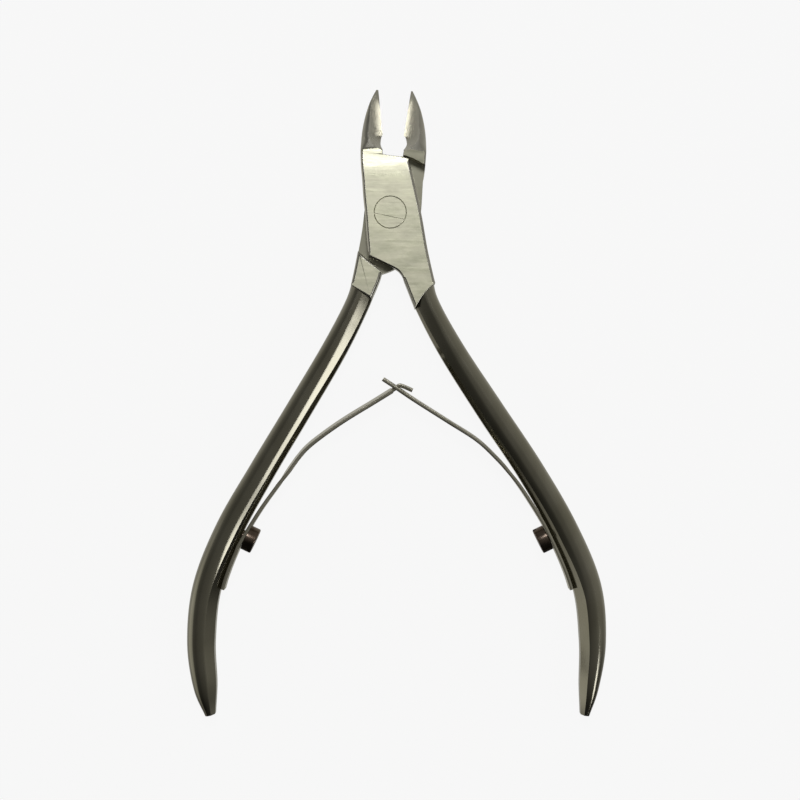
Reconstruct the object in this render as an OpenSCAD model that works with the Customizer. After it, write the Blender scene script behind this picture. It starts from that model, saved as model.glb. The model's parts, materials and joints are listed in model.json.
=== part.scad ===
// Cuticle nipper: two levers lapped over each other on a screw, and held open
// by a pair of leaf springs whose ends are interlocked.
// It lies flat on its back. The pivot is the Z axis, the jaws point along +Y and
// the handles along -Y. The origin is on the resting face, on the pivot axis.
// The front lever carries the left jaw and the right handle, and the back lever
// the right jaw and the left handle. The nipper is drawn open, as its springs hold it.

/* [Joint] */
// Depth of the joint, from the resting face to the front face
depth = 6; // [5.8:0.1:6.4]
// Gap between the two lapped faces
lap_gap = 0.06; // [0.04:0.02:0.1]
// Radius of the shoulders that the lapped plates turn inside
shoulder_r = 9.7; // [9.6:0.05:9.8]
// Radius of the pivot screw's shank
pivot_r = 1.6; // [1.4:0.1:1.8]
// Radius of the pivot screw's flush head
pivot_head_r = 2.7; // [2.4:0.1:2.8]
// Thickness of the pivot screw's head
pivot_head_h = 1.2; // [1:0.1:1.6]
// Radial clearance of the front lever on the pivot screw
run_gap = 0.04; // [0.02:0.01:0.08]

/* [Jaws] */
// Distance from the pivot to the tip of a jaw
jaw_reach = 21; // [20.6:0.1:21.4]
// Angle of the front lever's cutting edge from the Y axis, to the left
front_jaw_angle = 5.5; // [5:0.1:6]
// Angle of the back lever's cutting edge from the Y axis, to the right
back_jaw_angle = 9.5; // [9:0.1:10]
// Radius of the wheel that hollows the front of each jaw
hollow_r = 4.07; // [3.9:0.01:4.2]
// Fall of the jaw's front face towards its tip, in degrees
front_fall = 18; // [14:1:19]
// Rise of the jaw's back face towards its tip, in degrees
back_rise = 6; // [3:1:8]

/* [Handles] */
// Depth of a handle
handle_depth = 5.6; // [5:0.1:5.8]
// Depth of the bevel between a handle's front and its inner face
bevel_h = 0.8; // [0.5:0.1:1]

/* [Leaf springs] */
// Thickness of a leaf
leaf_t = 0.6; // [0.4:0.05:0.6]
// Width of a leaf, along the pivot's direction
leaf_w = 4; // [3:0.5:4.5]
// Width of the slot in the right leaf
slot_w = 2; // [1.6:0.1:2.4]
// Width of the left leaf's tongue
tongue_w = 1.5; // [1:0.1:1.6]

/* [Spring screws] */
// Radius of a spring screw's head
spring_head_r = 2.15; // [1.8:0.05:2.3]
// Height of a spring screw's head
spring_head_h = 1.8; // [1.4:0.1:2.2]
// Radius of a spring screw's shank
spring_shank_r = 0.95; // [0.8:0.05:1]

/* [Hidden] */
$fn = 64;

// Clearance between parts that are screwed together
seat_gap = 0.03;
// Length of a spring screw's shank inside the handle, and of its hole
spring_shank_l = 3;
spring_hole_l = 3.2;
// Middle of the depth, where the springs and their screws lie
mid = depth / 2;
// Thickness of one lapped plate
plate_t = (depth - lap_gap) / 2;

// Middle line and half thickness of each handle, from the joint to the tip.
// The sixth point is where the spring screw goes in.
screw_at = 5;
left_handle = [
    [-4, -10.5, 2.15], [-5.5, -15, 2], [-9.4, -22.7, 2.1], [-15.3, -32.7, 2.15],
    [-21.3, -42.7, 2.2], [-26.8, -52.5, 2.33], [-30.5, -62, 2.36],
    [-31.5, -71, 2.33], [-30.85, -78.5, 1.97], [-29.95, -83.4, 0.85]
];
right_handle = [
    [4.65, -10.5, 2.4], [6.08, -15, 2.05], [10.2, -22.7, 2.15], [16.65, -32.7, 2.28],
    [23.3, -42.7, 2.28], [28.9, -52.5, 2.32], [32.75, -62, 2.36],
    [33.7, -71, 2.2], [33.1, -78.5, 1.65], [32.35, -83.4, 0.75]
];

// Where each leaf starts and ends along its handle, as places on the handle's line
leaf_foot = 5.97;
leaf_leaves = 4.7;
// The bend of each leaf, about which its arm flexes
left_knee = [-15.45, -40.67];
right_knee = [17.7, -40.67];
// Where the two leaves cross
crossing = [1, -28.95];
// Distance from the bend to the end of the clamped part, and the arm's root radius
knee_gap = 0.4;
knee_r = leaf_t / 2;
// Free stretch of each clamped part, between the handle and the bend
left_rise = [[-19.8, -46], [-17.5, -43]];
right_rise = [[22, -46], [19.75, -43]];
// Middle line of each arm, from the bend to its end
left_arm_line = [left_knee, [-12.4, -37.6], [-7.7, -34.3], [-2.3, -31], crossing];
right_arm_line = [right_knee, [14.4, -37.6], [9.4, -34.4], [4.2, -31.1], crossing, [-1.2, -27.5]];
// The tongue beyond the crossing, bent over towards the right leaf
tongue_end = [[1.45, -28.6], [2.1, -28.7], [3.7, -29.4]];
// The left leaf is full width up to this far before the crossing
shoulder_back = 0.85;
// Half length of the slot about the crossing
slot_half = 1.3;

// ---- Curves ----

function unit(v) = v / norm(v);
function across(v) = [-v.y, v.x];
function flat(v) = [v.x, v.y];

// A smooth curve through the points p: its place and its direction at u,
// where whole numbers are the points themselves
function knot(p, i) =
    i < 0 ? 2 * p[0] - p[1] :
    i >= len(p) ? 2 * p[len(p) - 1] - p[len(p) - 2] : p[i];
function on_curve(p, u) =
    let (i = min(floor(u), len(p) - 2), t = u - i,
         a = knot(p, i - 1), b = p[i], c = p[i + 1], d = knot(p, i + 2))
    (2 * b + (c - a) * t + (2 * a - 5 * b + 4 * c - d) * t * t
        + (3 * b - a - 3 * c + d) * t * t * t) / 2;
function heading(p, u) =
    let (e = 0.01, a = max(u - e, 0), b = min(u + e, len(p) - 1))
    unit(flat(on_curve(p, b) - on_curve(p, a)));
function smooth(p, step) = [for (u = [0 : step : len(p) - 1]) on_curve(p, u)];

// A Bezier curve from a to d
function bezier(a, b, c, d, steps) = [
    for (i = [0 : steps]) let (t = i / steps, s = 1 - t)
        a * s * s * s + 3 * b * s * s * t + 3 * c * s * t * t + d * t * t * t
];

// A strip of thickness t along the points p
function strip_normal(p, i) =
    across(unit(p[min(i + 1, len(p) - 1)] - p[max(i - 1, 0)]));
function strip(p, t) = concat(
    [for (i = [0 : len(p) - 1]) p[i] + strip_normal(p, i) * t / 2],
    [for (i = [len(p) - 1 : -1 : 0]) p[i] - strip_normal(p, i) * t / 2]
);

// Point b moved towards point a by the distance d
function short_of(a, b, d) = b + unit(a - b) * d;

// Places its children on the point p, at mid depth, with +Z turned to the direction d
module facing(p, d) {
    translate([p.x, p.y, mid]) rotate([0, 0, atan2(d.y, d.x)]) rotate([0, 90, 0]) children();
}

// ---- Jaws ----

// A jaw with its cutting edge on the Y axis and its body on the -X side.
// base_w is its width at the base, belly_w how far its outer side bulges near the tip,
// and notch_depth the depth of the clearance behind the cutting edge.
module jaw_outline(base_w, belly_w, notch_depth) {
    notch_y = 11.75;
    notch_half = 1.7;
    notch_r = (pow(notch_half, 2) + pow(notch_depth, 2)) / (2 * notch_depth);
    heel_y = 10.6;
    heel = 0.65 * notch_depth;
    difference() {
        polygon(concat(
            bezier([-base_w, 6], [-base_w - 0.05, 12], [-belly_w, 16.5], [-0.3, jaw_reach], 20),
            [[0, jaw_reach], [0, heel_y], [-heel, heel_y], [-heel, 7], [-2, 6]]
        ));
        translate([notch_r - notch_depth, notch_y]) circle(r = notch_r);
    }
}

module jaw(base_w, belly_w, notch_depth) {
    hollow = [1.9, 13.4, 5.2];
    fall_from = 10.7;
    rise_from = 13;
    difference() {
        linear_extrude(depth) jaw_outline(base_w, belly_w, notch_depth);
        // hollow grinding along the front of the edge
        translate(hollow) sphere(r = hollow_r);
        translate(hollow) rotate([-90, 0, 0]) cylinder(r = hollow_r, h = 12);
        // front and back faces closing in towards the tip
        translate([-8, fall_from, depth]) rotate([-front_fall, 0, 0]) cube([10, 20, 8]);
        translate([-8, rise_from, 0]) rotate([back_rise, 0, 0])
            translate([0, 0, -4]) cube([10, 20, 4]);
    }
}

// ---- Handles ----

// Half depth of a handle at u, falling a little in the last stretch
function half_depth(u) = handle_depth / 2 * (1 - 0.3 * pow(max(0, (u - 7) / 2), 2));

// Section of a handle, as [outwards, up]: a flat inner face, a bevel up to a crisp
// ridge, and a rounded back
function section(h, d) = concat(
    [[-h, bevel_h - d], [-0.26 * h, -d]],
    [for (a = [-90 : 22.5 : 90]) [0.1 * h + 0.9 * h * cos(a), d * sin(a)]],
    [[-0.26 * h, d], [-h, d - bevel_h]]
);

// side is 1 for the left handle and -1 for the right one
module handle(line, side) {
    step = 0.25;
    stops = [0 : step : len(line) - 1];
    rings = [
        for (u = stops) let (c = on_curve(line, u), out = -side * across(heading(line, u)))
            [for (s = section(c[2], half_depth(u)))
                [c.x + out.x * s.x, c.y + out.y * s.x, mid + s.y]]
    ];
    n = len(rings[0]);
    last = len(rings) - 1;
    points = [for (r = rings) each r];
    walls = [
        for (k = [0 : last - 1], j = [0 : n - 1])
            let (a = k * n + j, b = k * n + (j + 1) % n)
                each [[a, b, b + n], [a, b + n, a + n]]
    ];
    ends = [[for (j = [n - 1 : -1 : 0]) j], [for (j = [0 : n - 1]) last * n + j]];
    faces = concat(walls, ends);
    polyhedron(points, side < 0 ? [for (f = faces) [for (i = [len(f) - 1 : -1 : 0]) f[i]]] : faces);
}

// A place on a handle's inner face, lifted off it by the distance lift
function inner(line, side, u, lift) =
    let (c = on_curve(line, u))
    flat(c) + side * across(heading(line, u)) * (c[2] + lift);
function inwards(line, side) = side * across(heading(line, screw_at));

module spring_screw_hole(line, side) {
    facing(inner(line, side, screw_at, 0), inwards(line, side))
        translate([0, 0, -spring_hole_l])
            cylinder(r = spring_shank_r + seat_gap, h = spring_hole_l + 2);
}

// ---- Levers ----

module front_plate() {
    polygon([
        [-4.75, 7], [-4.45, 2.5], [-4.2, 0], [-3.9, -4], [-3.6, -7.2],
        [0.7, -9.3], [1.6, -9.95], [2.2, -11], [7.2, -10.8],
        [6.15, -6], [5.25, -0.8], [4.3, 3.7], [3.6, 6.6], [3.05, 8.85],
        [1.6, 9.2], [0, 9.4], [-1.3, 9.65], [-2, 10]
    ]);
}

module front_shank() {
    polygon([
        [6.2, -6.4], [2, -9.9], [2.2, -11], [2.85, -12.7], [4, -15.9], [7.55, -11.7]
    ]);
}

module back_plate() {
    polygon([
        [-2.95, 8.85], [-1.6, 9.2], [0, 9.4], [1.6, 9.55], [3, 10], [5.8, 8],
        [5.4, 4.5], [5.15, 0.7], [4.6, -3.6], [3.9, -7.2], [0.9, -9.05], [-0.3, -9.6],
        [-1.45, -10], [-6.2, -10], [-5.3, -6.4], [-4.7, -2.7], [-4.3, 0.6], [-3.9, 3.5], [-3.4, 6.6]
    ]);
}

module back_shank() {
    polygon([
        [-5.35, -6.4], [-6.5, -11.6], [-6.45, -12.2], [-3.1, -14.4],
        [-2.4, -12.7], [-1.7, -11], [-1.43, -9.83]
    ]);
}

module front_lever() color([0.66, 0.65, 0.6]) difference() {
    union() {
        difference() {
            rotate([0, 0, front_jaw_angle]) jaw(4.1, 3.35, 0.5);
            translate([0, 0, -1]) cylinder(r = shoulder_r, h = plate_t + lap_gap + 1);
        }
        translate([0, 0, plate_t + lap_gap]) linear_extrude(plate_t) front_plate();
        linear_extrude(depth) front_shank();
        handle(right_handle, -1);
    }
    translate([0, 0, -1]) cylinder(r = pivot_r + run_gap, h = depth + 2);
    translate([0, 0, depth - pivot_head_h - lap_gap])
        cylinder(r = pivot_head_r + run_gap, h = pivot_head_h + 1);
    spring_screw_hole(right_handle, -1);
}

module back_lever() color([0.6, 0.59, 0.54]) difference() {
    union() {
        difference() {
            rotate([0, 0, -back_jaw_angle]) mirror([1, 0, 0]) jaw(4.5, 3.4, 0.75);
            translate([0, 0, plate_t]) cylinder(r = shoulder_r, h = depth);
        }
        linear_extrude(plate_t) back_plate();
        linear_extrude(depth) back_shank();
        handle(left_handle, 1);
    }
    translate([0, 0, -1]) cylinder(r = pivot_r + seat_gap, h = depth);
    spring_screw_hole(left_handle, 1);
}

// ---- Fasteners ----

module pivot_screw() color([0.75, 0.74, 0.68]) difference() {
    union() {
        cylinder(r = pivot_r, h = depth);
        translate([0, 0, depth - pivot_head_h]) cylinder(r = pivot_head_r, h = pivot_head_h);
    }
    // shallow slot, off centre as the head was ground flush
    rotate([0, 0, -12]) translate([-pivot_head_r, -0.8, depth - 0.15])
        cube([2 * pivot_head_r, 0.2, 1]);
}

// slot_turn is the angle of the head's slot from the pivot's direction
module spring_screw(line, side, slot_turn) {
    head_from = leaf_t + 3 * seat_gap;
    slot_depth = 0.6;
    slot_t = 0.5;
    facing(inner(line, side, screw_at, 0), inwards(line, side)) difference() {
        union() {
            translate([0, 0, -spring_shank_l])
                cylinder(r = spring_shank_r, h = spring_shank_l + head_from + 0.1);
            translate([0, 0, head_from]) cylinder(r = spring_head_r, h = spring_head_h);
        }
        rotate([0, 0, slot_turn])
            translate([-spring_head_r - 1, -slot_t / 2, head_from + spring_head_h - slot_depth])
                cube([2 * spring_head_r + 2, slot_t, 2]);
    }
}

module left_spring_screw() color([0.35, 0.32, 0.28]) spring_screw(left_handle, 1, 55);
module right_spring_screw() color([0.35, 0.32, 0.28]) spring_screw(right_handle, -1, 75);

// ---- Leaf springs ----

// A leaf shape of the full width, or of width w, along the points p
module leaf(p, w) {
    translate([0, 0, mid - w / 2]) linear_extrude(w) polygon(strip(p, leaf_t));
}

// The clamped part of a leaf, from its foot on the handle to just short of the bend
module spring_base(line, side, rise, knee) {
    lift = leaf_t / 2 + seat_gap;
    clamped = [for (u = [leaf_foot : -0.127 : leaf_leaves]) inner(line, side, u, lift)];
    free = [rise[0], rise[1], short_of(rise[1], knee, knee_gap)];
    difference() {
        leaf(concat(clamped, free), leaf_w);
        facing(inner(line, side, screw_at, 0), inwards(line, side))
            cylinder(r = spring_shank_r + 0.15, h = 2);
    }
}

// The round root of an arm, which turns about the bend
module arm_root(knee) {
    translate([knee.x, knee.y, mid - leaf_w / 2]) cylinder(r = knee_r, h = leaf_w);
}

module left_spring_base() color([0.5, 0.49, 0.42])
    spring_base(left_handle, 1, left_rise, left_knee);

module right_spring_base() color([0.5, 0.49, 0.42])
    spring_base(right_handle, -1, right_rise, right_knee);

module left_spring_arm() color([0.62, 0.61, 0.54]) {
    before = left_arm_line[3];
    shoulder = short_of(before, crossing, shoulder_back);
    body = smooth([left_knee, left_arm_line[1], left_arm_line[2], before, shoulder], 0.25);
    union() {
        arm_root(left_knee);
        leaf(body, leaf_w);
        leaf(concat([short_of(before, crossing, shoulder_back + 0.5), crossing], tongue_end),
            tongue_w);
    }
}

module right_spring_arm() color([0.62, 0.61, 0.54]) {
    run = unit(right_arm_line[3] - right_arm_line[5]);
    difference() {
        union() {
            arm_root(right_knee);
            leaf(smooth(right_arm_line, 0.25), leaf_w);
        }
        // slot for the tongue
        facing(crossing, run) translate([-slot_w / 2, -2, -slot_half])
            cube([slot_w, 4, 2 * slot_half]);
    }
}

back_lever();
front_lever();
pivot_screw();
left_spring_base();
left_spring_arm();
left_spring_screw();
right_spring_base();
right_spring_arm();
right_spring_screw();
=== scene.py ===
import json
import math

import bmesh
import bpy
import numpy as np
from mathutils import Matrix, Vector


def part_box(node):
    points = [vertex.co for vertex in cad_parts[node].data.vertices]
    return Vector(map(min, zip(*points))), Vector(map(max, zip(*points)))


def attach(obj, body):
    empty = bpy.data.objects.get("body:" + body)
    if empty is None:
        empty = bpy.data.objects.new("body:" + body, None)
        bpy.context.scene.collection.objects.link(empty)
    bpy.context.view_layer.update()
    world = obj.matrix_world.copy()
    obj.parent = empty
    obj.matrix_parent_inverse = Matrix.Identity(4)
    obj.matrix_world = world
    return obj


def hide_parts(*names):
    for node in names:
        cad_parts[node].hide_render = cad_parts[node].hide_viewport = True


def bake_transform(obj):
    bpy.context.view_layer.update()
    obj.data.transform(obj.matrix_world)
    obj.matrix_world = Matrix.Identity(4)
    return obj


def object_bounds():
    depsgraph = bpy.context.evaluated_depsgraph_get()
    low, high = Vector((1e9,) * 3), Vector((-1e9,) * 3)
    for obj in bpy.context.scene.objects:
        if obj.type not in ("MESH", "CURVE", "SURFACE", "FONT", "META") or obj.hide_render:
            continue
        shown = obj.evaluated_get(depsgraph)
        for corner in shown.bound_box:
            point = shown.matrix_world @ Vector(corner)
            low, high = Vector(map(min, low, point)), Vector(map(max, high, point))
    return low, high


# The looks of the cuticle nipper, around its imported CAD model. Shapes are worked out
# in millimetres in the CAD frame, and become metres where a mesh is made.
MM = 0.001

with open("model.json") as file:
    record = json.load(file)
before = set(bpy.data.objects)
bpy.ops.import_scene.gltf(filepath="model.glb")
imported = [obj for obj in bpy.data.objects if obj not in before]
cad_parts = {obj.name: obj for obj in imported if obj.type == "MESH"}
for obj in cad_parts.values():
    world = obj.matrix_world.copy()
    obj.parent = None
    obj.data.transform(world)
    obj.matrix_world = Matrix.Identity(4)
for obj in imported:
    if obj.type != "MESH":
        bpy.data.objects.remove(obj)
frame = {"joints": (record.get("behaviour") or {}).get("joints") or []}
cad_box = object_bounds()
joints = {j["name"]: j for j in frame["joints"]}

# ---- Sizes, from the frame or shared with the CAD model ----

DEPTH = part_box("front_lever")[1].z / MM
MID = DEPTH / 2
LAP_GAP = 0.06
PLATE = (DEPTH - LAP_GAP) / 2
SHOULDER_R = 9.7
PIVOT_HEAD_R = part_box("pivot_screw")[1].x / MM
PIVOT_BORE_R = 1.64
PIVOT_HEAD_H = 1.2
PIVOT_SLOT = (-0.82, -0.64)
PIVOT_SLOT_DEPTH = 0.15
PIVOT_SLOT_TURN = -12
LEAF_W = (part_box("left_spring_base")[1].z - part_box("left_spring_base")[0].z) / MM
LEAF_T = 0.6
TONGUE_W = 1.5
TONGUE_NECK = 0.85
SLOT_HALF_LENGTH = 1.3
SLOT_HALF_WIDTH = 1
SPRING_HEAD_R = 2.15
SPRING_HEAD_H = 1.8
SPRING_HEAD_LIFT = 0.09
SPRING_SHANK_R = 0.95
SPRING_SHANK_LENGTH = 3
SPRING_HOLE_R = 1
SPRING_HOLE_DEPTH = 3.2
LEFT_KNEE = np.array(joints["left_leaf_flex"]["pos_m"][:2]) / MM
RIGHT_KNEE = np.array(joints["right_leaf_flex"]["pos_m"][:2]) / MM

# ---- Outlines shared with the CAD model ----

# Middle line and half thickness of each handle, from the joint to the tip
LEFT_HANDLE = [
    (-4, -10.5, 2.15), (-5.5, -15, 2), (-9.4, -22.7, 2.1), (-15.3, -32.7, 2.15),
    (-21.3, -42.7, 2.2), (-26.8, -52.5, 2.33), (-30.5, -62, 2.36),
    (-31.5, -71, 2.33), (-30.85, -78.5, 1.97), (-29.95, -83.4, 0.85),
]
RIGHT_HANDLE = [
    (4.65, -10.5, 2.4), (6.08, -15, 2.05), (10.2, -22.7, 2.15), (16.65, -32.7, 2.28),
    (23.3, -42.7, 2.28), (28.9, -52.5, 2.32), (32.75, -62, 2.36),
    (33.7, -71, 2.2), (33.1, -78.5, 1.65), (32.35, -83.4, 0.75),
]
HANDLE_HALF_DEPTH = 2.8
# Where along a handle its spring screw is, and where the two leaves cross
SCREW_AT = 5
CROSSING = (1, -28.95)


# ---- Curves ----

def catmull(points, u):
    """The place at u on a smooth curve through points, where whole numbers are the points."""
    p = np.array(points, float)
    i = min(int(u), len(p) - 2)
    t = u - i
    a = p[i - 1] if i else 2 * p[0] - p[1]
    d = p[i + 2] if i + 2 < len(p) else 2 * p[-1] - p[-2]
    b, c = p[i], p[i + 1]
    return (2 * b + (c - a) * t + (2 * a - 5 * b + 4 * c - d) * t**2
            + (3 * b - a - 3 * c + d) * t**3) / 2


def smooth(points, step):
    """Points along a smooth curve, step of a span apart."""
    count = round((len(points) - 1) / step)
    return np.array([catmull(points, k * step) for k in range(count + 1)])


def heading(points, u):
    a = catmull(points, max(u - 0.01, 0))[:2]
    b = catmull(points, min(u + 0.01, len(points) - 1))[:2]
    return (b - a) / np.linalg.norm(b - a)


def across(d):
    return np.array([-d[1], d[0]])


def turned(points, angle):
    """2-D points turned about the pivot by an angle in degrees."""
    c, s = math.cos(math.radians(angle)), math.sin(math.radians(angle))
    return np.array(points, float) @ np.array([[c, s], [-s, c]])


def step_between(x, low, high):
    """0 below low, 1 above high, and smooth between them."""
    t = min(1.0, max(0.0, (x - low) / (high - low)))
    return t * t * (3 - 2 * t)


# ---- Meshes ----

def new_object(name, verts, faces, materials, tags):
    """A mesh object from points in millimetres; tags holds each face's material number."""
    mesh = bpy.data.meshes.new(name)
    mesh.from_pydata([tuple(v) for v in np.array(verts) * MM], [], faces)
    for material in materials:
        mesh.materials.append(material)
    mesh.polygons.foreach_set("material_index", tags)
    bm = bmesh.new()
    bm.from_mesh(mesh)
    bmesh.ops.remove_doubles(bm, verts=bm.verts, dist=1e-7)
    bmesh.ops.dissolve_degenerate(bm, edges=bm.edges, dist=1e-7)
    bmesh.ops.recalc_face_normals(bm, faces=bm.faces)
    bm.to_mesh(mesh)
    bm.free()
    obj = bpy.data.objects.new(name, mesh)
    bpy.context.scene.collection.objects.link(obj)
    return obj


def ring_faces(rings):
    """The faces between rings of points, and then those that close the first and last ring."""
    n, last = len(rings[0]), len(rings) - 1
    faces = []
    for k in range(last):
        for j in range(n):
            a, b = k * n + j, k * n + (j + 1) % n
            faces.append((a, b, b + n, a + n))
    faces.append(tuple(range(n - 1, -1, -1)))
    faces.append(tuple(last * n + j for j in range(n)))
    return faces


def loft(name, rings, materials, tag=0):
    """A closed solid through rings of points, with the same material number all over."""
    faces = ring_faces(rings)
    return new_object(name, np.concatenate(rings), faces, materials, [tag] * len(faces))


def lathe(name, profile, materials, segments=96):
    """A solid of revolution about Z from (radius, z) points that start and end on the axis."""
    rings = []
    for r, z in profile:
        angles = np.linspace(0, 2 * math.pi, segments, endpoint=False)
        rings.append(np.stack([r * np.cos(angles), r * np.sin(angles), 0 * angles + z], 1))
    return loft(name, rings, materials)


def cutter(radius, low, high, segments=128):
    return lathe("cutter", [(radius, low), (radius, high)], [], segments)


def block(low, high):
    """A box, for cutting with."""
    x, y, z = zip(low, high)
    ring = [(x[0], y[0]), (x[1], y[0]), (x[1], y[1]), (x[0], y[1])]
    rings = [np.array([(a, b, c) for a, b in ring]) for c in z]
    return loft("cutter", rings, [])


def combine(base, tool, operation):
    """Joins tool to base, or cuts it out of base, and deletes tool."""
    modifier = base.modifiers.new("combine", "BOOLEAN")
    modifier.operation = operation
    modifier.object = tool
    modifier.solver = "EXACT"
    modifier.material_mode = "TRANSFER"
    bpy.context.view_layer.update()
    graph = bpy.context.evaluated_depsgraph_get()
    made = bpy.data.meshes.new_from_object(base.evaluated_get(graph))
    base.modifiers.clear()
    base.data = made
    bpy.data.objects.remove(tool)
    return base


CREASE_ANGLE = 17


def finish_surface(obj):
    """Smooth shading with crisp edges, and flat faces kept flat."""
    mesh = obj.data
    bm = bmesh.new()
    bm.from_mesh(mesh)
    bmesh.ops.remove_doubles(bm, verts=bm.verts, dist=2e-7)
    bmesh.ops.dissolve_degenerate(bm, edges=bm.edges, dist=2e-7)
    bm.to_mesh(mesh)
    bm.free()
    mesh.polygons.foreach_set("use_smooth", [True] * len(mesh.polygons))
    mesh.set_sharp_from_angle(angle=math.radians(CREASE_ANGLE))
    weighted = obj.modifiers.new("flat_faces", "WEIGHTED_NORMAL")
    weighted.keep_sharp = True
    weighted.weight = 80
    return obj


# ---- Materials ----

NOISE_RANGE = (0.3, 0.7)


class Nodes:
    """A few words for building the node tree of a metal."""

    def __init__(self, name):
        self.material = bpy.data.materials.new(name)
        self.material.use_nodes = True
        self.tree = self.material.node_tree
        self.shader = self.tree.nodes["Principled BSDF"]
        self.shader.inputs["Metallic"].default_value = 1.0
        coords = self.tree.nodes.new("ShaderNodeTexCoord")
        self.place = coords.outputs["Object"]

    def add(self, kind, **settings):
        node = self.tree.nodes.new(kind)
        for key, value in settings.items():
            setattr(node, key, value)
        return node

    def link(self, a, b):
        self.tree.links.new(a, b)

    def stretched(self, scale, turn=0.0):
        """Object coordinates scaled along each axis, and turned about Z by degrees."""
        node = self.add("ShaderNodeMapping")
        node.inputs["Scale"].default_value = scale
        node.inputs["Rotation"].default_value = (0, 0, math.radians(turn))
        self.link(self.place, node.inputs["Vector"])
        return node.outputs["Vector"]

    def noise(self, vector, detail, roughness=0.55):
        """Noise with a grain of one unit of vector."""
        node = self.add("ShaderNodeTexNoise")
        node.inputs["Scale"].default_value = 1.0
        node.inputs["Detail"].default_value = detail
        node.inputs["Roughness"].default_value = roughness
        self.link(vector, node.inputs["Vector"])
        return node.outputs["Fac"]

    def ramp(self, value, stops):
        """A colour between those of two stops of (place, colour)."""
        node = self.add("ShaderNodeValToRGB")
        for element, (place, colour) in zip(node.color_ramp.elements, stops):
            element.position = place
            element.color = (*colour, 1)
        self.link(value, node.inputs["Fac"])
        return node.outputs["Color"]

    def spread(self, value, low, high):
        """A noise value, which is mostly in NOISE_RANGE, mapped to low to high."""
        node = self.add("ShaderNodeMapRange")
        node.inputs["From Min"].default_value = NOISE_RANGE[0]
        node.inputs["From Max"].default_value = NOISE_RANGE[1]
        node.inputs["To Min"].default_value = low
        node.inputs["To Max"].default_value = high
        self.link(value, node.inputs["Value"])
        return node.outputs["Result"]

    def multiplied(self, a, b, factor):
        node = self.add("ShaderNodeMix", data_type="RGBA", blend_type="MULTIPLY")
        node.inputs["Factor"].default_value = factor
        self.link(a, node.inputs["A"])
        self.link(b, node.inputs["B"])
        return node.outputs["Result"]

    def bump(self, height, distance, strength, after=None):
        """Bump of a distance in metres, on top of the bump called after."""
        node = self.add("ShaderNodeBump")
        node.inputs["Strength"].default_value = strength
        node.inputs["Distance"].default_value = distance
        self.link(height, node.inputs["Height"])
        if after is not None:
            self.link(after, node.inputs["Normal"])
        return node.outputs["Normal"]


def grey(value, warm=1.0):
    """A metal grey of the given brightness; warm above 1 leans to olive."""
    return (value, value * (1 - 0.03 * warm), value * (1 - 0.16 * warm))


def satin_material():
    """Ground flats of the joint: horizontal grinding lines and soft mottling."""
    n = Nodes("ground_satin_steel")
    lines = n.noise(n.stretched((60, 1400, 60)), 5.0, 0.65)
    smears = n.noise(n.stretched((220, 900, 220)), 3.0)
    cloud = n.noise(n.stretched((300, 420, 300)), 3.0)
    base = n.ramp(cloud, [(0.3, (0.60, 0.59, 0.47)), (0.7, (0.73, 0.715, 0.56))])
    streaks = n.ramp(smears, [(0.35, (0.8, 0.82, 0.78)), (0.6, (1, 1, 1))])
    n.link(n.multiplied(base, streaks, 0.8), n.shader.inputs["Base Color"])
    n.link(n.spread(smears, 0.34, 0.48), n.shader.inputs["Roughness"])
    fine = n.bump(lines, 0.00002, 0.5)
    n.link(n.bump(cloud, 0.00006, 0.35, fine), n.shader.inputs["Normal"])
    return n.material


def polished_material():
    """Handles: dark, warm polished steel with faint hand-polishing waves and hair scratches."""
    n = Nodes("polished_steel")
    waves = n.noise(n.stretched((90, 45, 90)), 2.0)
    hairs = n.noise(n.stretched((900, 90, 900), 25), 2.0)
    smudge = n.noise(n.stretched((160, 110, 160)), 4.0)
    base = n.ramp(smudge, [(0.3, grey(0.26, 1.6)), (0.7, grey(0.32, 1.3))])
    n.link(base, n.shader.inputs["Base Color"])
    n.link(n.spread(smudge, 0.14, 0.2), n.shader.inputs["Roughness"])
    fine = n.bump(hairs, 0.000002, 0.1)
    n.link(n.bump(waves, 0.00006, 0.2, fine), n.shader.inputs["Normal"])
    return n.material


def ground_material():
    """Jaws: grey hollow-ground steel with close grinding marks."""
    n = Nodes("hollow_ground_steel")
    marks = n.noise(n.stretched((400, 1600, 400), 12), 3.0)
    cloud = n.noise(n.stretched((420, 300, 420)), 3.0)
    base = n.ramp(cloud, [(0.3, grey(0.46, 0.8)), (0.7, grey(0.56, 0.8))])
    n.link(base, n.shader.inputs["Base Color"])
    n.link(n.spread(cloud, 0.2, 0.3), n.shader.inputs["Roughness"])
    n.link(n.bump(marks, 0.000008, 0.4), n.shader.inputs["Normal"])
    return n.material


def lap_material():
    """The lapped face under the front plate: dull machined steel, a little brown, with its base colour
    darkened as painted shade of the recess beside the plate.
    """
    n = Nodes("machined_lap_steel_painted_shade")
    lines = n.noise(n.stretched((300, 1300, 300), 12), 3.0)
    cloud = n.noise(n.stretched((300, 300, 300)), 3.0)
    # the dark base colour is painted shade of the recess; the high roughness is the dull machined
    # finish
    base = n.ramp(cloud, [(0.3, (0.25, 0.245, 0.19)), (0.7, (0.36, 0.35, 0.28))])
    n.link(base, n.shader.inputs["Base Color"])
    n.link(n.spread(cloud, 0.4, 0.5), n.shader.inputs["Roughness"])
    n.link(n.bump(lines, 0.00001, 0.4), n.shader.inputs["Normal"])
    return n.material


def leaf_material():
    """Leaf springs: rolled strip, satin with lines along its length."""
    n = Nodes("rolled_spring_steel")
    lines = n.noise(n.stretched((120, 120, 1500)), 2.0)
    cloud = n.noise(n.stretched((260, 260, 260)), 3.0)
    base = n.ramp(cloud, [(0.3, grey(0.5, 1.3)), (0.7, grey(0.6, 1.2))])
    n.link(base, n.shader.inputs["Base Color"])
    n.link(n.spread(cloud, 0.2, 0.26), n.shader.inputs["Roughness"])
    n.link(n.bump(lines, 0.000002, 0.15), n.shader.inputs["Normal"])
    return n.material


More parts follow.
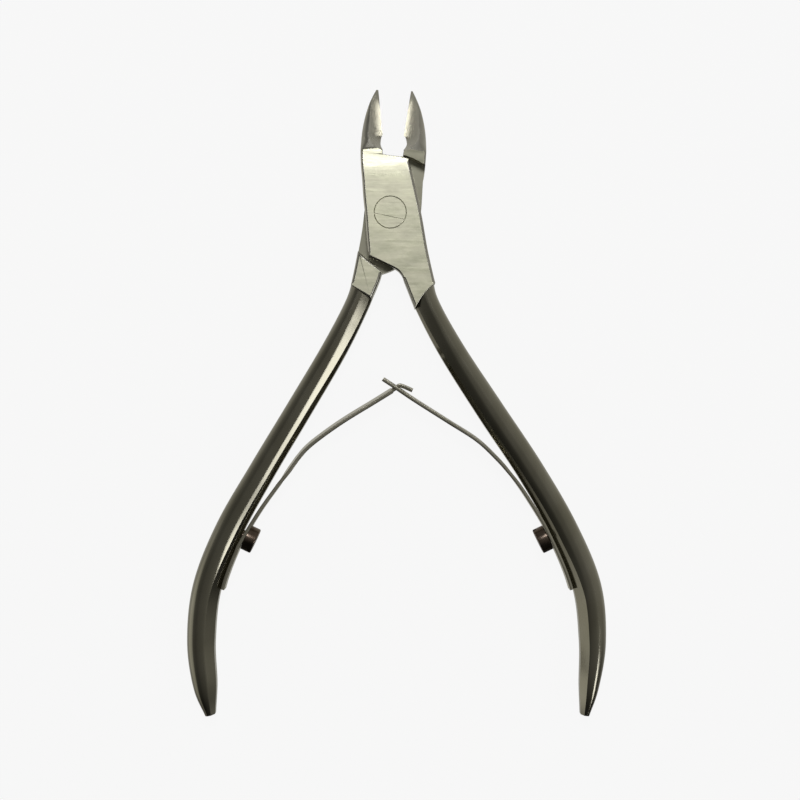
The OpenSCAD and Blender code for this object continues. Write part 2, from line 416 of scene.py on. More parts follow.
def screw_material():
    """Spring screws: turned steel, dark and a little brown."""
    n = Nodes("turned_screw_steel")
    rings = n.noise(n.stretched((900, 900, 900)), 4.0, 0.6)
    cloud = n.noise(n.stretched((500, 500, 500)), 2.0)
    base = n.ramp(cloud, [(0.3, (0.12, 0.09, 0.07)), (0.7, (0.2, 0.16, 0.13))])
    n.link(base, n.shader.inputs["Base Color"])
    n.link(n.spread(rings, 0.18, 0.28), n.shader.inputs["Roughness"])
    n.link(n.bump(rings, 0.000008, 0.4), n.shader.inputs["Normal"])
    return n.material


SATIN = satin_material()
POLISHED = polished_material()
GROUND = ground_material()
LEAF = leaf_material()
SCREW = screw_material()
LAP = lap_material()
LEVER_MATERIALS = [SATIN, POLISHED, GROUND, LAP]
SATIN_FACE, POLISHED_FACE, GROUND_FACE, LAP_FACE = range(4)


# ---- The jaws' outlines, which the joint's plates follow ----

JAW_REACH = 21
# The jaw frame has the cutting edge on the Y axis and the jaw's body on the -X side
FRONT_JAW = {
    "base": 4.1, "belly": 3.35, "tip": 0.35, "notch": 0.52, "angle": 5.5, "mirrored": False
}
BACK_JAW = {
    "base": 4.5, "belly": 3.4, "tip": 0.25, "notch": 0.8, "angle": -9.5, "mirrored": True
}
EDGE_END = 13.5
NOTCH_Y = 11.8


def bezier(a, b, c, d, count=200):
    t = np.linspace(0, 1, count)[:, None]
    a, b, c, d = (np.array(p, float) for p in (a, b, c, d))
    return a * (1 - t)**3 + 3 * b * (1 - t)**2 * t + 3 * c * (1 - t) * t**2 + d * t**3


def jaw_outer(jaw, y):
    """Where the outer side of a jaw is at y."""
    base, belly = jaw["base"], jaw["belly"]
    curve = bezier((-base, 6), (-base - 0.05, 12), (-belly, 16.5), (-jaw["tip"], JAW_REACH))
    return float(np.interp(y, curve[:, 1], curve[:, 0]))


def jaw_inner(jaw, y):
    """Where the inner side of a jaw is at y: the cutting edge, the notch behind it, or its heel."""
    if y >= EDGE_END:
        return 0.0
    depth, half = jaw["notch"], EDGE_END - NOTCH_Y
    r = (half**2 + depth**2) / (2 * depth)
    reach = r * r - (y - NOTCH_Y)**2
    notch = r - depth - math.sqrt(reach) if reach > 0 else 0.0
    heel = -0.65 * depth * (1 - step_between(y, 10.4, 10.9))
    return min(notch, heel, 0.0)


def in_lever(jaw, points):
    """Jaw frame points in the frame of the nipper."""
    points = np.array(points, float)
    if jaw["mirrored"]:
        points = points * (-1, 1)
    return turned(points, jaw["angle"])


def jaw_side(jaw, *heights):
    """Places on the outer side of a jaw, in the frame of the nipper."""
    places = in_lever(jaw, [(jaw_outer(jaw, y), y) for y in heights])
    return [tuple(p) for p in places]


# ---- Joint blocks ----

# Edge radii: of the outer edges, of those where the plate runs on into its jaw, and of the rest
EDGE_R = 0.45
SEAM_R = 0.0
LAP_EDGE_R = 0.1
ROUNDING_STEPS = 8
ROLL_STEP = 0.25


def outline(runs):
    """Points and edge radii of a closed outline, from runs of (radius, points) that meet at
    corners."""
    places, radii = [], []
    for radius, points in runs:
        line = smooth(points, 0.2) if len(points) > 2 else np.array(points, float)
        for p in line[:-1]:
            places.append(p[:2])
            radii.append(radius)
    return np.array(places), np.array(radii)


def inset_directions(p, radii):
    """For each corner of a counter-clockwise outline, the mitred way inwards. A rounded side
    that follows an unrounded one keeps its corner on that one."""
    before = p - np.roll(p, 1, 0)
    after = np.roll(p, -1, 0) - p
    before /= np.linalg.norm(before, axis=1)[:, None]
    after /= np.linalg.norm(after, axis=1)[:, None]
    n1 = np.stack([-before[:, 1], before[:, 0]], 1)
    n2 = np.stack([-after[:, 1], after[:, 0]], 1)
    mitred = (n1 + n2) / np.maximum(0.35, 1 + (n1 * n2).sum(1))[:, None]
    along = -before / np.maximum(0.35, (-before * n2).sum(1))[:, None]
    from_seam = (radii > 0) & (np.roll(radii, 1) == 0)
    return np.where(from_seam[:, None], along, mitred)


def slab(name, runs, low, high, rounded_high, shrink=0.0, flat_tags=(0, 0)):
    """A plate from low to high with the edges of one of its faces rounded. flat_tags are the
    material numbers of its sharp-edged and its round-edged face."""
    p, radii = outline(runs)
    inwards = inset_directions(p, radii)
    p = p + inwards * shrink
    edge = high if rounded_high else low
    way = -1 if rounded_high else 1
    other = low if rounded_high else high
    rings = [np.column_stack([p, np.full(len(p), other)])]
    for k in range(ROUNDING_STEPS + 1):
        t = math.pi / 2 * k / ROUNDING_STEPS
        q = p + inwards * (radii * (1 - math.cos(t)))[:, None]
        rings.append(np.column_stack([q, edge + way * radii * (1 - math.sin(t))]))
    faces = ring_faces(rings)
    tags = [GROUND_FACE] * (len(faces) - len(flat_tags)) + list(flat_tags)
    return new_object(name, np.concatenate(rings), faces, LEVER_MATERIALS, tags)


def rolled(obj):
    """The same plate with its front face rolled over towards the jaws."""
    bm = bmesh.new()
    bm.from_mesh(obj.data)
    for y in np.arange(ROLL_FROM, ROLL_END, ROLL_STEP):
        bmesh.ops.bisect_plane(bm, geom=bm.verts[:] + bm.edges[:] + bm.faces[:], dist=1e-7,
                               plane_co=(0, y * MM, 0), plane_no=(0, 1, 0))
    for v in bm.verts:
        if v.co.z > MID * MM:
            v.co.z -= roll_off(v.co.y / MM) * MM * roll_share(v.co.z / MM)
    bm.to_mesh(obj.data)
    bm.free()
    return obj


FRONT_INNER = [(2.2, -11), (2.85, -12.7), (4.1, -15.9)]
FRONT_END = [(4.1, -15.9), (4.75, -14.7), (5.7, -13.3), (6.7, -12.3), (7.45, -11.65)]
FRONT_OUTER = [
    (7.45, -11.65), (7.1, -10.3), (6.15, -6), (5.25, -0.8), (4.3, 3.7), (3.6, 6.6), (3.05, 8.85)
]
FRONT_PLATE = [
    (EDGE_R, [*jaw_side(FRONT_JAW, 10.5, 9.4, 8.2, 7, 6), (-4.45, 2.5), (-4.2, 0), (-3.9, -4),
              (-3.6, -7.2)]),
    (EDGE_R * 0.6, [(-3.6, -7.2), (-1.2, -8.35), (0.85, -9.35), (1.7, -10.1), (2.2, -11)]),
    (EDGE_R, FRONT_INNER),
    (LAP_EDGE_R, FRONT_END),
    (EDGE_R, FRONT_OUTER),
    (LAP_EDGE_R, [(3.05, 8.85), (1.6, 9.2), (0, 9.4), (-1.3, 9.65)]),
    (SEAM_R, [(-1.3, 9.65), (-1.7, 10.05)]),
    (SEAM_R, [(-1.7, 10.05), (-3.6, 10.1)]),
    (SEAM_R, [(-3.6, 10.1), *jaw_side(FRONT_JAW, 10.5)]),
]
FRONT_SHANK = [
    (EDGE_R, [(2, -9.9), (2.2, -11), (2.85, -12.7), (4.1, -15.9)]),
    (LAP_EDGE_R, FRONT_END),
    (EDGE_R, [(7.45, -11.65), (7.1, -10.3), (6.3, -6.6)]),
    (LAP_EDGE_R, [(6.3, -6.6), (2, -9.9)]),
]
BACK_END = [(-6.5, -12), (-3.15, -14.4)]
BACK_PLATE = [
    (EDGE_R, [(-3.05, 8.85), (-3.6, 6.6), (-3.95, 3.6), (-4.3, 0.6), (-4.7, -2.7),
              (-5.35, -6.4), (-6.5, -12)]),
    (LAP_EDGE_R, BACK_END),
    (EDGE_R, [(-3.15, -14.4), (-2.4, -12.7), (-1.75, -11.1), (-1.43, -10)]),
    (EDGE_R * 0.6, [(-1.43, -10), (-0.3, -9.6), (0.9, -9.05), (3.9, -7.2)]),
    (EDGE_R, [(3.9, -7.2), (4.6, -3.6), (5.15, 0.7), *jaw_side(BACK_JAW, 6, 7.2, 8.4, 9.6)]),
    (SEAM_R, [*jaw_side(BACK_JAW, 9.6), (1.93, 9.6)]),
    (LAP_EDGE_R, [(1.93, 9.6), (0, 9.4), (-1.6, 9.2), (-3.05, 8.85)]),
]
BACK_SHANK = [
    (EDGE_R, [(-5.35, -6.4), (-5.9, -9.2), (-6.5, -12)]),
    (LAP_EDGE_R, BACK_END),
    (EDGE_R, [(-3.15, -14.4), (-2.4, -12.7), (-1.75, -11.1), (-1.43, -9.83)]),
    (LAP_EDGE_R, [(-1.43, -9.83), (-5.35, -6.4)]),
]


# ---- Jaws ----

# The hollow grinding is a bowl: its axis along the jaw, its lowest height, how fast it rises
# away from the axis, where its straight length ends and how much steeper the end of it is
HOLLOW_AXIS = 1.9
HOLLOW_LOW = 0.78
HOLLOW_RISE = 0.2266
HOLLOW_END = 13.4
HOLLOW_END_RISE = 1.8
# The front of a jaw falls towards its tip, at an angle in degrees, from here on
FALL_ANGLE = 16.5
FALL_FROM = 10.8
# The front of the front plate rolls over between these places
ROLL_FROM = 6
ROLL_RATE = 0.0175
ROLL_END = 10.8
# The slope of the back lever's front beside the plate, as a share
LUMP_TILT = 0.12
# The back of a jaw rises towards its tip, at an angle in degrees, from here on
BACK_RISE = 6
BACK_FROM = 13
# How far the stretch of a jaw that lies inside its plate is inside the plate's outline
JAW_INSET = 0.012


def hollow_height(x, y):
    """Height of the hollow grinding at a place on the jaw."""
    short = max(0.0, HOLLOW_END - y)
    return HOLLOW_LOW + HOLLOW_RISE * ((x - HOLLOW_AXIS)**2 + HOLLOW_END_RISE * short**2)


def crease(y, top):
    """Where the hollow grinding meets the front face, which is at the height top."""
    short = max(0.0, HOLLOW_END - y)
    reach = (top - HOLLOW_LOW) / HOLLOW_RISE - HOLLOW_END_RISE * short**2
    return HOLLOW_AXIS - math.sqrt(max(0.0, reach))


def arc(centre, rx, rz, start, stop, count):
    angles = np.radians(np.linspace(start, stop, count))
    return [(centre[0] + rx * math.cos(a), centre[1] + rz * math.sin(a)) for a in angles]


def roll_off(y):
    """How far the front face of the joint has fallen at y, as it rolls over towards the jaws."""
    return ROLL_RATE * max(0.0, min(y, ROLL_END) - ROLL_FROM)**2


def roll_share(z):
    """How much of the roll a point at the height z takes part in."""
    return step_between(z, MID + 0.3, DEPTH - EDGE_R)


def tilt_back(y):
    """How far the front face at the base of the back lever's jaw has fallen at y."""
    return LUMP_TILT * max(0.0, ROLL_END - y)


def jaw_section(jaw, y, top, inset):
    """The points round a jaw at y, from its cutting edge over the front and back to the edge."""
    bottom = max(0.0, math.tan(math.radians(BACK_RISE)) * (y - BACK_FROM)) + inset
    x_out = jaw_outer(jaw, y) + inset
    x_in = max(jaw_inner(jaw, y), x_out + 0.05)
    width = x_in - x_out
    least = 0.06 * min(1, width)
    x_crease = min(max(crease(y, top), x_out + 0.15 * width), x_in - least)
    crease_z = min(top, hollow_height(x_crease, y))
    edge_z = min(crease_z - least, hollow_height(x_in, y))
    points = [(x_in, edge_z)]
    for x in np.linspace(x_in, x_crease, 20)[1:-1]:
        share = (x_in - x) / (x_in - x_crease)
        points.append((x, min(hollow_height(x, y), edge_z + (crease_z - edge_z) * share)))
    growth = step_between(y, 10.4, 12.6)
    front_r = min(0.95 * (x_crease - x_out), EDGE_R + 0.85 * growth)
    front_z = min(front_r * (1 + 0.5 * growth), (crease_z - bottom) * 0.55)
    for x in np.linspace(x_crease, x_out + front_r, 6)[:-1]:
        points.append((x, crease_z))
    points += arc((x_out + front_r, crease_z - front_z), front_r, front_z, 90, 180, 13)
    back_r = min(width * 0.45, 0.7)
    back_z = min(back_r, (crease_z - bottom) * 0.35)
    points.append((x_out, (crease_z - front_z + bottom + back_z) / 2))
    points += arc((x_out + back_r, bottom + back_z), back_r, back_z, 180, 270, 10)
    # the back of the cutting edge is bevelled, and behind the edge the side is upright
    bevel = step_between(y, 12.3, 13.2)
    reach = min(1.5, (width - back_r) * 0.8) * bevel
    points.append((x_in - reach - (width - back_r - reach) * 0.5, bottom))
    points.append((x_in - reach - 1e-3, bottom))
    points.append((x_in - reach * 0.45, bottom + (edge_z - bottom) * 0.5 * bevel))
    points.append((x_in, bottom + (edge_z - bottom) * 0.93 * bevel))
    return points


def jaw_solid(name, jaw, starts, shaped, rolls):
    """A jaw from y = starts on. shaped gives how far its front face has fallen behind FALL_FROM.
    Where rolls is true, the front face rolls over together with the plate's."""
    stations = np.concatenate([
        np.linspace(starts, FALL_FROM, 13)[:-1], np.linspace(FALL_FROM, 14.2, 41)[:-1],
        np.linspace(14.2, 20.9, 44), [20.96, 20.995]
    ])
    rings = []
    for y in stations:
        inset = JAW_INSET * (1 - step_between(y, 10.4, 10.7))
        fall = math.tan(math.radians(FALL_ANGLE)) * max(0.0, y - FALL_FROM)
        section = np.array(jaw_section(jaw, y, DEPTH - inset - shaped(y) - fall, inset))
        flat = in_lever(jaw, np.column_stack([section[:, 0], np.full(len(section), y)]))
        z = section[:, 1]
        if rolls:
            z = np.array([h - (roll_off(q) - roll_off(y)) * roll_share(h)
                          for h, q in zip(z, flat[:, 1])])
        rings.append(np.column_stack([flat, z]))
    tooth = loft(name, rings, LEVER_MATERIALS, GROUND_FACE)
    for face in tooth.data.polygons:
        on_front = face.center.z > (DEPTH - 0.65) * MM and face.normal.z > 0.9
        y = turned([face.center[:2]], -jaw["angle"])[0][1]
        if on_front and y < FALL_FROM * MM:
            face.material_index = SATIN_FACE
    return tooth


# ---- Handles ----

def handle_half_depth(u):
    return HANDLE_HALF_DEPTH * (1 - 0.3 * max(0, (u - 7) / 2)**2)


# At places along a handle: where its facet starts and where its crisp edge is, as shares of the
# width from the outer side, its slope in degrees, and half the height of the flat inner face
FACET_PLACES = [1.4, 2.9, 4.1, 5.2, 6.2, 9]
FACET_START = [0.56, 0.65, 0.68, 0.64, 0.62, 0.6]
FACET_EDGE = [0.9, 0.83, 0.81, 0.78, 0.69, 0.66]
FACET_TILT = [26, 26, 26, 24, 12, 10]
FLAT_HALF = [1.45, 1.45, 1.45, 1.4, 1.25, 1.2]
# The share of the width from the outer side at which a handle is highest
CROWN = 0.4
TIP_LENGTH = 0.12


def handle_section(h, d, u):
    """Section as [outwards, up]: flat inner face, steep facet, crisp edge, facet and round back."""
    start = np.interp(u, FACET_PLACES, FACET_START)
    edge = np.interp(u, FACET_PLACES, FACET_EDGE)
    tilt = np.interp(u, FACET_PLACES, FACET_TILT)
    flat = np.interp(u, FACET_PLACES, FLAT_HALF) * d / HANDLE_HALF_DEPTH
    # the front's slope in degrees at shares of the width, summed up into its height
    shares = np.concatenate([np.linspace(CROWN, start, 7), np.linspace(start, edge, 5)[1:]])
    tilts = np.interp(shares, [CROWN, start - 0.08, start, edge], [0, 4, tilt - 5, tilt + 4])
    rises = np.tan(np.radians((tilts[1:] + tilts[:-1]) / 2)) * np.diff(shares) * 2 * h
    drops = np.concatenate([[0], np.cumsum(rises)]) * min(1, h / 2)
    front = [(h - 2 * h * f, d - drop) for f, drop in zip(shares, drops)][::-1]
    crown_x = h - 2 * h * CROWN
    rx, power = h - crown_x, 2.25
    back = []
    for a in np.radians(np.linspace(90, 0, 22))[1:]:
        back.append((crown_x + rx * math.cos(a)**(2 / power), d * math.sin(a)**(2 / power)))
    upper = [(-h, min(flat, front[0][1] - 0.05))] + front + back
    lower = [(a, -w) for a, w in reversed(upper[:-1])]
    return np.array(upper + lower)


def handle(name, line, side):
    """side is 1 for the left handle and -1 for the right one."""
    rings = []
    end = len(line) - 1
    end -= TIP_LENGTH / np.linalg.norm(np.subtract(line[-1], line[-2])[:2])
    places = [*np.arange(0, end - 0.03, 0.05), end]
    for u in places:
        c = catmull(line, u)
        out = -side * across(heading(line, u))
        s = handle_section(c[2], handle_half_depth(u), u)
        rings.append(np.column_stack([
            c[0] + out[0] * s[:, 0], c[1] + out[1] * s[:, 0], MID + s[:, 1]
        ]))
    # round off the tip
    tip, d = rings[-1], heading(line, end)
    centre = tip.mean(0)
    for t in np.radians([15, 30, 45, 60, 75, 88]):
        ring = centre + (tip - centre) * (0.45 + 0.55 * math.cos(t))
        ring[:, :2] += d * TIP_LENGTH * math.sin(t)
        rings.append(ring)
    return loft(name, rings, LEVER_MATERIALS, POLISHED_FACE)


def inner_face(line, side, u, lift=0.0):
    """A place on a handle's inner face, lifted off it, and the way inwards."""
    c, inwards = catmull(line, u), side * across(heading(line, u))
    return c[:2] + inwards * (c[2] + lift), inwards


def aim(obj, line, side):
    """Puts an object made about Z on the handle's screw axis, with +Z inwards."""
    p, inwards = inner_face(line, side, SCREW_AT)
    z = Vector((*inwards, 0))
    x = Vector((0, 0, -1))
    y = z.cross(x)
    matrix = obj.matrix_world.copy()
    for row in range(3):
        matrix[row][0], matrix[row][1], matrix[row][2] = x[row], y[row], z[row]
    matrix.translation = Vector((*p, MID)) * MM
    obj.data.transform(matrix)
    return obj


# ---- Levers ----

# Solids to be joined overlap by this much, and cutters reach this far out of what they cut
OVERLAP = 1
# A shank is this much inside its plate's outline, and the jaws' shoulders overlap the plates
SHANK_SHRINK = 0.004
SHOULDER_OVERLAP = 0.005
HEAD_CLEARANCE = 0.02


def spring_hole(line, side):
    """A cutter for the blind hole of a spring screw."""
    return aim(cutter(SPRING_HOLE_R, -SPRING_HOLE_DEPTH, OVERLAP, 48), line, side)


def front_lever():
    above = DEPTH + OVERLAP
    lever = handle("front_lever_forging", RIGHT_HANDLE, -1)
    shank = slab("shank", FRONT_SHANK, 0, PLATE + OVERLAP, False, SHANK_SHRINK)
    combine(lever, shank, "UNION")
    combine(lever, rolled(slab("plate", FRONT_PLATE, DEPTH - PLATE, DEPTH, True)), "UNION")
    tooth = jaw_solid("jaw", FRONT_JAW, 9.3, roll_off, True)
    shoulder = cutter(SHOULDER_R, -OVERLAP, DEPTH - PLATE + SHOULDER_OVERLAP)
    combine(tooth, shoulder, "DIFFERENCE")
    combine(lever, tooth, "UNION")
    combine(lever, cutter(PIVOT_BORE_R, -OVERLAP, above), "DIFFERENCE")
    head_seat = DEPTH - PIVOT_HEAD_H - LAP_GAP
    combine(lever, cutter(PIVOT_HEAD_R + HEAD_CLEARANCE, head_seat, above), "DIFFERENCE")
    combine(lever, spring_hole(RIGHT_HANDLE, -1), "DIFFERENCE")
    return finish_surface(lever)


def back_lever():
    above = DEPTH + OVERLAP
    lever = handle("back_lever_forging", LEFT_HANDLE, 1)
    shank = slab("shank", BACK_SHANK, PLATE - OVERLAP, DEPTH, True, SHANK_SHRINK)
    combine(lever, shank, "UNION")
    # the back plate's top, the lap face, gets the lap material with its painted shade of the recess
    plate = slab("plate", BACK_PLATE, 0, PLATE, False, 0, (LAP_FACE, SATIN_FACE))
    combine(lever, plate, "UNION")
    tooth = jaw_solid("jaw", BACK_JAW, 8.8, tilt_back, False)
    combine(tooth, cutter(SHOULDER_R, PLATE - SHOULDER_OVERLAP, above), "DIFFERENCE")
    combine(lever, tooth, "UNION")
    combine(lever, cutter(PIVOT_BORE_R, -OVERLAP, above), "DIFFERENCE")
    combine(lever, spring_hole(LEFT_HANDLE, 1), "DIFFERENCE")
    return finish_surface(lever)


# ---- Screws ----

def pivot_screw():
    """The flush pivot screw: a flat head with a narrow bevel, and a plain shank."""
    r, seat, chamfer = PIVOT_HEAD_R, DEPTH - PIVOT_HEAD_H, 0.09
    shank = PIVOT_BORE_R - 0.04
    profile = [
        (0.001, 0), (shank - chamfer, 0), (shank, chamfer), (shank, seat), (r, seat),
        (r, DEPTH - chamfer), (r - 1.6 * chamfer, DEPTH), (0.001, DEPTH)
    ]
    screw = lathe("pivot_screw_flush", profile, [SATIN])
    low, high = PIVOT_SLOT
    slot = block((-r, low, DEPTH - PIVOT_SLOT_DEPTH), (r, high, DEPTH + OVERLAP))
    slot.data.transform(Matrix.Rotation(math.radians(PIVOT_SLOT_TURN), 4, "Z"))
    combine(screw, slot, "DIFFERENCE")
    return finish_surface(screw)


def spring_screw(name, line, side, slot_turn):
    """A screw with a round-edged cheese head, whose slot is turned by slot_turn degrees."""
    r, low, shank = SPRING_HEAD_R, LEAF_T + SPRING_HEAD_LIFT, SPRING_SHANK_R
    top = low + SPRING_HEAD_H
    rounding, chamfer = 0.22, 0.08
    corner = arc((r - rounding, top - rounding), rounding, rounding, 0, 90, 6)
    profile = [
        (0.001, -SPRING_SHANK_LENGTH), (shank, -SPRING_SHANK_LENGTH), (shank, low),
        (r - chamfer, low), (r, low + chamfer), *corner, (0.001, top)
    ]
    screw = lathe(name, profile, [SCREW])
    slot = block((-r - OVERLAP, -0.25, top - 0.6), (r + OVERLAP, 0.25, top + OVERLAP))
    slot.data.transform(Matrix.Rotation(math.radians(slot_turn), 4, "Z"))
    combine(screw, slot, "DIFFERENCE")
    aim(screw, line, side)
    return finish_surface(screw)


# ---- Leaf springs ----

def leaf(name, line, widths, twist):
    """A strip along a 2-D line. widths and twist (degrees) are functions of the place along it."""
    rings = []
    gaps = np.linalg.norm(np.diff(line, axis=0), axis=1)
    along = np.concatenate([[0], np.cumsum(gaps)])
    corner = 0.12
    for k, p in enumerate(line):
        d = line[min(k + 1, len(line) - 1)] - line[max(k - 1, 0)]
        n = across(d / np.linalg.norm(d))
        w, t = widths(along[k]) / 2, LEAF_T / 2
        section = []
        for cx, cz, start in ((t, w, 0), (-t, w, 90), (-t, -w, 180), (t, -w, 270)):
            mx, mz = cx - math.copysign(corner, cx), cz - math.copysign(corner, cz)
            section += arc((mx, mz), corner, corner, start, start + 90, 4)
        section = np.array(section)
        tilt = math.radians(twist(along[k]))
        a = section[:, 0] * math.cos(tilt) - section[:, 1] * math.sin(tilt)
        z = section[:, 0] * math.sin(tilt) + section[:, 1] * math.cos(tilt)
        rings.append(np.column_stack([p[0] + n[0] * a, p[1] + n[1] * a, MID + z]))
    return loft(name, rings, [LEAF])


def dense(line, gap):
    """The same line with points at most gap apart, close to evenly spaced."""
    line = np.array(line, float)
    lengths = np.concatenate([[0], np.cumsum(np.linalg.norm(np.diff(line, axis=0), axis=1))])
    places = np.linspace(0, lengths[-1], int(lengths[-1] / gap) + 2)
    return np.column_stack([np.interp(places, lengths, line[:, k]) for k in range(2)]), lengths[-1]


def clamped_run(line, side, leaves):
    """Middle line of a leaf where it lies along its handle, from its foot to u = leaves."""
    lift = LEAF_T / 2 + 0.03
    return [inner_face(line, side, u, lift)[0] for u in np.linspace(5.97, leaves, 6)]


def joined(*lines):
    """Smooth lines end to end, each starting where the last one stops, with a bend between them."""
    fine = [smooth(line, 0.1) for line in lines]
    return np.concatenate([fine[0]] + [line[1:] for line in fine[1:]])


def left_leaf():
    """The leaf that ends in a narrow tongue, which passes through the right leaf's slot."""
    rise = [(-21.6, -49.3), (-18.6, -45.1), LEFT_KNEE]
    arm = [LEFT_KNEE, (-14.0, -39), (-11.7, -37.1), (-7.7, -34.3), (-2.3, -31), CROSSING]
    bent = joined(clamped_run(LEFT_HANDLE, 1, 5.1) + rise, arm)
    body, length = dense(bent, 0.25)
    end = length - TONGUE_NECK
    tongue = [CROSSING, (1.45, -28.6), (2.1, -28.7), (3.7, -29.4)]
    tip, tip_length = dense(smooth(tongue, 0.1), 0.15)
    before = [p for p, s in zip(body, np.linspace(0, length, len(body))) if s < end]
    direction = (body[-1] - body[-2]) / np.linalg.norm(body[-1] - body[-2])
    shoulder = body[-1] - direction * TONGUE_NECK
    line = np.array(before + [shoulder, shoulder + direction * 0.02] + [body[-1]] + list(tip[1:]))
    whole = np.linalg.norm(np.diff(line, axis=0), axis=1).sum()
    start = whole - tip_length - TONGUE_NECK

    def width(s):
        return LEAF_W if s <= start + 0.01 else TONGUE_W

    def twist(s):
        return 6 * step_between(s, 19.5, 23)

    return leaf("left_leaf_spring", line, width, twist)


def right_leaf():
    """The leaf with a slot near its end."""
    free = [(22, -46), (19.75, -43), RIGHT_KNEE, (14.4, -37.6), (9.4, -34.4), (4.2, -31.1)]
    end = [CROSSING, (-1.2, -27.5)]
    run = clamped_run(RIGHT_HANDLE, -1, 4.7) + [np.array(p) for p in free + end]
    line, _ = dense(smooth(run, 0.1), 0.3)

    def twist(s):
        return -2.5 * step_between(s, 19, 24)

    strip = leaf("right_leaf_spring", line, lambda s: LEAF_W, twist)
    slot = block((-SLOT_HALF_LENGTH, -2, -SLOT_HALF_WIDTH), (SLOT_HALF_LENGTH, 2, SLOT_HALF_WIDTH))
    d = np.array((4.2, -31.1)) - np.array((-1.2, -27.5))
    d /= np.linalg.norm(d)
    matrix = Vector((1, 0, 0)).rotation_difference(Vector((*d, 0))).to_matrix().to_4x4()
    matrix.translation = Vector((*CROSSING, MID)) * MM
    slot.data.transform(matrix)
    return combine(strip, slot, "DIFFERENCE")


# ---- Putting it together ----

def place(obj, body, slot, *nodes):
    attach(obj, body)
    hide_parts(*nodes)


def place_leaf(obj, nodes):
    """A leaf, smooth-shaded with crisp edges and baked in place, shown instead of its CAD nodes."""
    finish_surface(obj)
    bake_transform(obj)
    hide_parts(*nodes)


place(back_lever(), "back_lever", "lever_steel", "back_lever")
place(front_lever(), "front_lever", "lever_steel", "front_lever")
place(pivot_screw(), "back_lever", "pivot_steel", "pivot_screw")
place(spring_screw("left_screw", LEFT_HANDLE, 1, 55), "back_lever", "screw_steel", "left_spring_screw")
place(spring_screw("right_screw", RIGHT_HANDLE, -1, 75), "front_lever", "screw_steel",
      "right_spring_screw")
place_leaf(left_leaf(),
           ["left_spring_base", "left_spring_arm"])
place_leaf(right_leaf(),
           ["right_spring_base", "right_spring_arm"])


# ---- Stage ----

def floor():
    size = 1.5
    mesh = bpy.data.meshes.new("floor")
    z = cad_box[0].z - 1e-5
    mesh.from_pydata([(-size, -size, z), (size, -size, z), (size, size, z), (-size, size, z)], [],
                     [(0, 1, 2, 3)])
    material = bpy.data.materials.new("pale_floor")
    material.use_nodes = True
    shader = material.node_tree.nodes["Principled BSDF"]
    shader.inputs["Base Color"].default_value = (0.04, 0.04, 0.04, 1)
    shader.inputs["Roughness"].default_value = 0.9
    shader.inputs["Specular IOR Level"].default_value = 0.0
    shader.inputs["Emission Color"].default_value = (1, 1, 1, 1)
    shader.inputs["Emission Strength"].default_value = 0.915
    mesh.materials.append(material)
    obj = bpy.data.objects.new("floor", mesh)
    bpy.context.scene.collection.objects.link(obj)
    # the nipper reflects the dark room and not the bright floor right under it
    obj.visible_glossy = False


def towards(azimuth, zenith):
    """The way to a place in the room, from its azimuth from +X and its angle from overhead."""
    a, t = math.radians(azimuth), math.radians(zenith)
    return Vector((math.sin(t) * math.cos(a), math.sin(t) * math.sin(a), math.cos(t)))


def lamp(name, azimuth, zenith, distance, wide, tall, watts):
    """An area lamp aimed at the nipper; tall runs up and down the room's dome."""
    way = towards(azimuth, zenith)
    data = bpy.data.lights.new(name, "AREA")
    data.shape = "RECTANGLE"
    data.size, data.size_y = wide, tall
    data.energy = watts
    obj = bpy.data.objects.new(name, data)
    obj.matrix_world = Matrix.LocRotScale(
        Vector((0, -20, 0)) * MM + way * distance, way.to_track_quat("Z", "Y"), None)
    bpy.context.scene.collection.objects.link(obj)


# Brightness of the room by height, from straight down to overhead
ROOM_LEVELS = [
    (0.0, 0.5), (0.3, 0.42), (0.5, 0.26), (0.62, 0.19), (0.8, 0.15), (0.9, 0.12), (1.0, 0.1)
]
# The room is darker towards the handles' end and the right: the way to its pale part, the
# share of light left in its dark part, and where the change lies
PALE_WAY = (-0.1, 1, 0)
DARK_SHARE = 0.1
DARK_FROM = -0.55
DARK_TO = -0.05
# Pale patches of the room: the way to each, its level, and the cosines at which it starts
# and is full
PATCHES = [
    (towards(190, 88), 0.42, 0.8, 0.97),
    (towards(25, 48), 0.17, 0.4, 0.95),
]
# name, azimuth and angle from overhead in degrees, distance, width and height in metres, watts
LAMPS = [
    ("front_lamp", 90, 24, 0.5, 0.11, 0.11, 0.5),
    ("side_lamp", -31, 52, 1.2, 0.26, 0.62, 1.7),
]


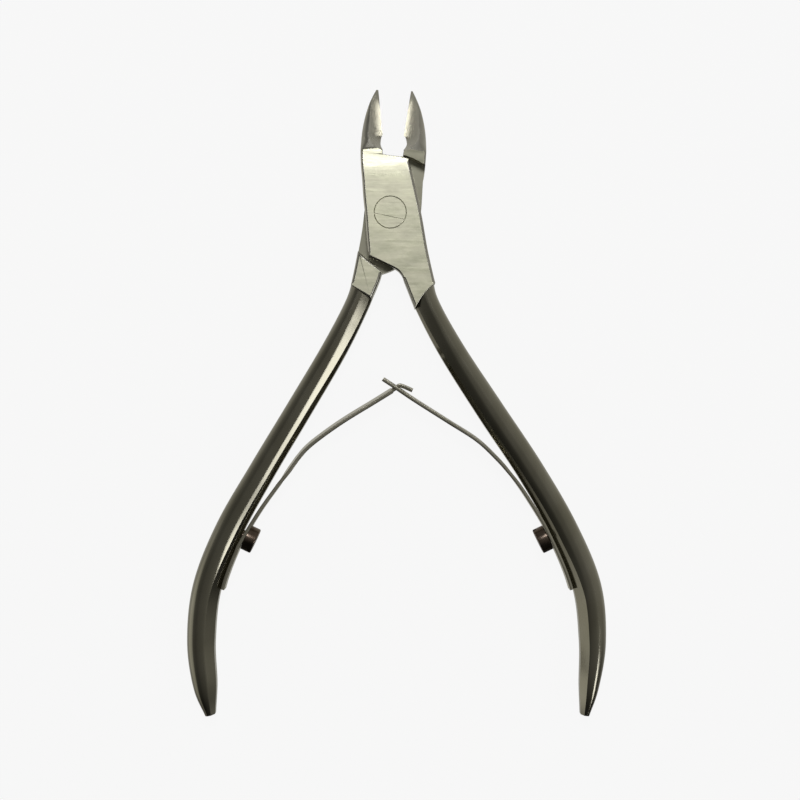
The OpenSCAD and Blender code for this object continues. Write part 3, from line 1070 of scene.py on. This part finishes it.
def studio():
    """A dim room, which polished steel reflects dark overhead and paler towards the horizon."""
    world = bpy.data.worlds.new("studio")
    bpy.context.scene.world = world
    world.use_nodes = True
    tree = world.node_tree

    def node(kind, **settings):
        made = tree.nodes.new(kind)
        for key, value in settings.items():
            setattr(made, key, value)
        return made

    def graded(value, low, high, from_level, to_level):
        made = node("ShaderNodeMapRange", interpolation_type="SMOOTHSTEP")
        for key, number in zip(("From Min", "From Max", "To Min", "To Max"),
                               (low, high, from_level, to_level)):
            made.inputs[key].default_value = number
        tree.links.new(value, made.inputs["Value"])
        return made.outputs["Result"]

    def math_of(operation, a, b):
        made = node("ShaderNodeMath", operation=operation)
        tree.links.new(a, made.inputs[0])
        tree.links.new(b, made.inputs[1])
        return made.outputs["Value"]

    def dot(vector):
        made = node("ShaderNodeVectorMath", operation="DOT_PRODUCT")
        made.inputs[1].default_value = vector
        tree.links.new(way, made.inputs[0])
        return made.outputs["Value"]

    way = node("ShaderNodeTexCoord").outputs["Generated"]
    split = node("ShaderNodeSeparateXYZ")
    tree.links.new(way, split.inputs["Vector"])
    height = node("ShaderNodeMapRange")
    height.inputs["From Min"].default_value = -1
    tree.links.new(split.outputs["Z"], height.inputs["Value"])
    ramp = node("ShaderNodeValToRGB")
    tree.links.new(height.outputs["Result"], ramp.inputs["Fac"])
    band = ramp.color_ramp
    for place, _ in ROOM_LEVELS[1:-1]:
        band.elements.new(place)
    for element, (_, level) in zip(band.elements, ROOM_LEVELS):
        element.color = (level, level, level, 1)
    pale = graded(dot(PALE_WAY), DARK_FROM, DARK_TO, DARK_SHARE, 1)
    total = math_of("MULTIPLY", ramp.outputs["Color"], pale)
    for place, level, low, high in PATCHES:
        total = math_of("ADD", total, graded(dot(place), low, high, 0, level))
    background = tree.nodes["Background"]
    background.inputs["Color"].default_value = (*grey(1.0, 0.7), 1)
    tree.links.new(total, background.inputs["Strength"])
    for values in LAMPS:
        lamp(*values)


def camera():
    """Straight above the nipper, with the picture's width of 133 mm at its mid depth."""
    seen, distance = 133.3 * MM, 0.30
    data = bpy.data.cameras.new("camera")
    data.sensor_width = 36
    data.lens = data.sensor_width * distance / seen
    data.clip_start, data.clip_end = 0.01, 10
    obj = bpy.data.objects.new("camera", data)
    obj.location = (1.61 * MM, -31.0 * MM, MID * MM + distance)
    bpy.context.scene.collection.objects.link(obj)
    bpy.context.scene.camera = obj


floor()
studio()
camera()
bpy.context.scene.view_settings.view_transform = "Standard"
